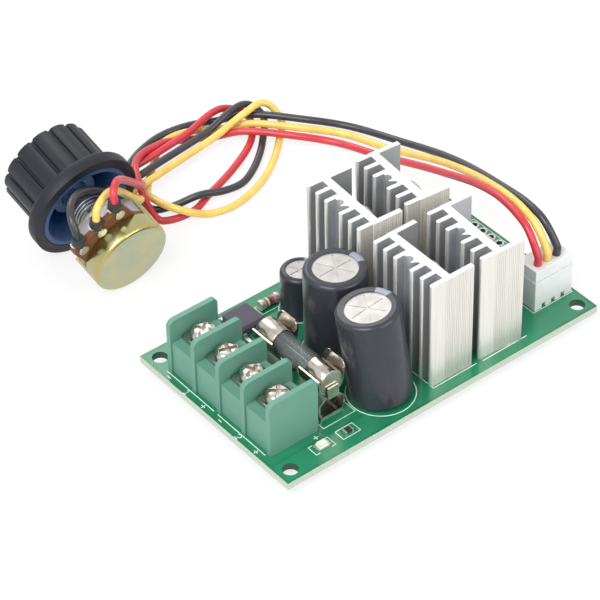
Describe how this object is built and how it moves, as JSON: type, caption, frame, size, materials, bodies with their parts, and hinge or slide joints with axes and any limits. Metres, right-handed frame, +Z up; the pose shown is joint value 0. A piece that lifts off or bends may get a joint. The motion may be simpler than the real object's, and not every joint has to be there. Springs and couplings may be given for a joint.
{
  "type": "dc motor speed controller",
  "caption": "Small motor speed controller: a circuit board with screw terminals, a glass fuse, capacitors and finned heat sinks, and a knob on a potentiometer joined by a plug-in wire harness.",
  "frame": {"origin": "centre of the board's four-hole pattern, on the board's underside", "axes": "+X along the board from the terminal block to the plug, +Y across it towards the knob, +Z up out of the component side"},
  "size_m": [0.0833, 0.1028, 0.0284],
  "materials": {
    "board": "gloss solder resist over glass laminate",
    "solder": "shiny solder",
    "block_plastic": "satin moulded",
    "plated_steel": "zinc plated",
    "nickel": "nickel plated",
    "fuse_glass": "clear",
    "can": "bright",
    "sleeve": "shrunk film with a pale stripe",
    "bung": "matt",
    "winding": "paper and foil",
    "tinned": "tinned wire",
    "sink": "extruded, sawn ends",
    "mould": "black epoxy",
    "pad": "grey silicone sheet",
    "resistor": "lacquered, colour bands",
    "led": "clear lens on white base",
    "nylon": "natural nylon",
    "contact": "stamped",
    "wire_red": "vinyl insulation",
    "wire_yellow": "vinyl insulation",
    "wire_black": "vinyl insulation",
    "cover": "yellow zinc plated",
    "die_cast": "zinc die casting",
    "wafer": "paper laminate",
    "carbon": "carbon ink",
    "shrink": "heat-shrink tube",
    "knob": "satin moulded",
    "insert": "moulded"
  },
  "bodies": {
    "board": {"circuit_board": "board", "solder_joints": "solder", "terminal_block": "block_plastic", "terminal_contacts": "plated_steel", "fuse_clip_front": "nickel", "fuse_clip_rear": "nickel", "front_capacitor_can": "can", "front_capacitor_sleeve": "sleeve", "rear_capacitor_can": "can", "rear_capacitor_sleeve": "sleeve", "small_capacitor_can": "can", "small_capacitor_sleeve": "sleeve", "capacitor_bungs": "bung", "capacitor_windings": "winding", "capacitor_leads": "tinned", "heat_sink_1": "sink", "heat_sink_2": "sink", "heat_sink_3": "sink", "heat_sink_4": "sink", "transistor_bodies": "mould", "transistor_tabs": "tinned", "thermal_pads": "pad", "heat_sink_screws": "plated_steel", "regulator_body": "mould", "regulator_tab": "tinned", "timer_chip": "mould", "banded_resistor": "resistor", "smd_resistors": "mould", "status_led": "led", "header_housing": "nylon", "header_pins": "tinned"},
    "harness": {"plug_housing": "nylon", "plug_contacts": "contact", "wire_red": "wire_red", "wire_yellow": "wire_yellow", "wire_black": "wire_black", "lug_sleeves": "shrink", "pot_cover": "cover", "pot_front_plate": "die_cast", "pot_wafer": "wafer", "resistive_track": "carbon", "pot_lugs": "tinned", "bushing_nut": "nickel", "lock_washer": "nickel"},
    "knob": {"control_shaft": "can", "wiper": "contact", "knob_shell": "knob", "knob_insert": "insert"},
    "fuse": {"fuse_glass": "fuse_glass", "fuse_caps": "nickel", "fuse_wire": "tinned"},
    "clamp_1": {"clamp_plate_1": "plated_steel"},
    "screw_1": {"terminal_screw_1": "plated_steel"},
    "clamp_2": {"clamp_plate_2": "plated_steel"},
    "screw_2": {"terminal_screw_2": "plated_steel"},
    "clamp_3": {"clamp_plate_3": "plated_steel"},
    "screw_3": {"terminal_screw_3": "plated_steel"},
    "clamp_4": {"clamp_plate_4": "plated_steel"},
    "screw_4": {"terminal_screw_4": "plated_steel"}
  },
  "joints": [
    {"name": "plug_pull", "type": "slide", "parent": "board", "child": "harness", "axis": [0, 0, 1], "range_m": [0, 0.009]},
    {"name": "knob_turn", "type": "hinge", "parent": "harness", "child": "knob", "pos_m": [-0.026, 0.0426, 0.00651], "axis": [0, 0.9721, 0.2344], "range_deg": [-150, 150]},
    {"name": "fuse_pull", "type": "slide", "parent": "board", "child": "fuse", "axis": [0, 0, 1], "range_m": [0, 0.016]},
    {"name": "clamp_lift_1", "type": "slide", "parent": "board", "child": "clamp_1", "axis": [0, 0, 1], "range_m": [0, 0.002]},
    {"name": "screw_turn_1", "type": "hinge", "parent": "clamp_1", "child": "screw_1", "pos_m": [-0.0315, 0.01183, 0], "axis": [0, 0, 1], "range_deg": [0, 1440]},
    {"name": "clamp_lift_2", "type": "slide", "parent": "board", "child": "clamp_2", "axis": [0, 0, 1], "range_m": [0, 0.002]},
    {"name": "screw_turn_2", "type": "hinge", "parent": "clamp_2", "child": "screw_2", "pos_m": [-0.0315, 0.00421, 0], "axis": [0, 0, 1], "range_deg": [0, 1440]},
    {"name": "clamp_lift_3", "type": "slide", "parent": "board", "child": "clamp_3", "axis": [0, 0, 1], "range_m": [0, 0.002]},
    {"name": "screw_turn_3", "type": "hinge", "parent": "clamp_3", "child": "screw_3", "pos_m": [-0.0315, -0.00341, 0], "axis": [0, 0, 1], "range_deg": [0, 1440]},
    {"name": "clamp_lift_4", "type": "slide", "parent": "board", "child": "clamp_4", "axis": [0, 0, 1], "range_m": [0, 0.002]},
    {"name": "screw_turn_4", "type": "hinge", "parent": "clamp_4", "child": "screw_4", "pos_m": [-0.0315, -0.01103, 0], "axis": [0, 0, 1], "range_deg": [0, 1440]}
  ],
  "couplings": [
    {"joint": "screw_turn_1", "follows": "clamp_lift_1", "rad_per_m": 12566},
    {"joint": "screw_turn_2", "follows": "clamp_lift_2", "rad_per_m": 12566},
    {"joint": "screw_turn_3", "follows": "clamp_lift_3", "rad_per_m": 12566},
    {"joint": "screw_turn_4", "follows": "clamp_lift_4", "rad_per_m": 12566}
  ]
}
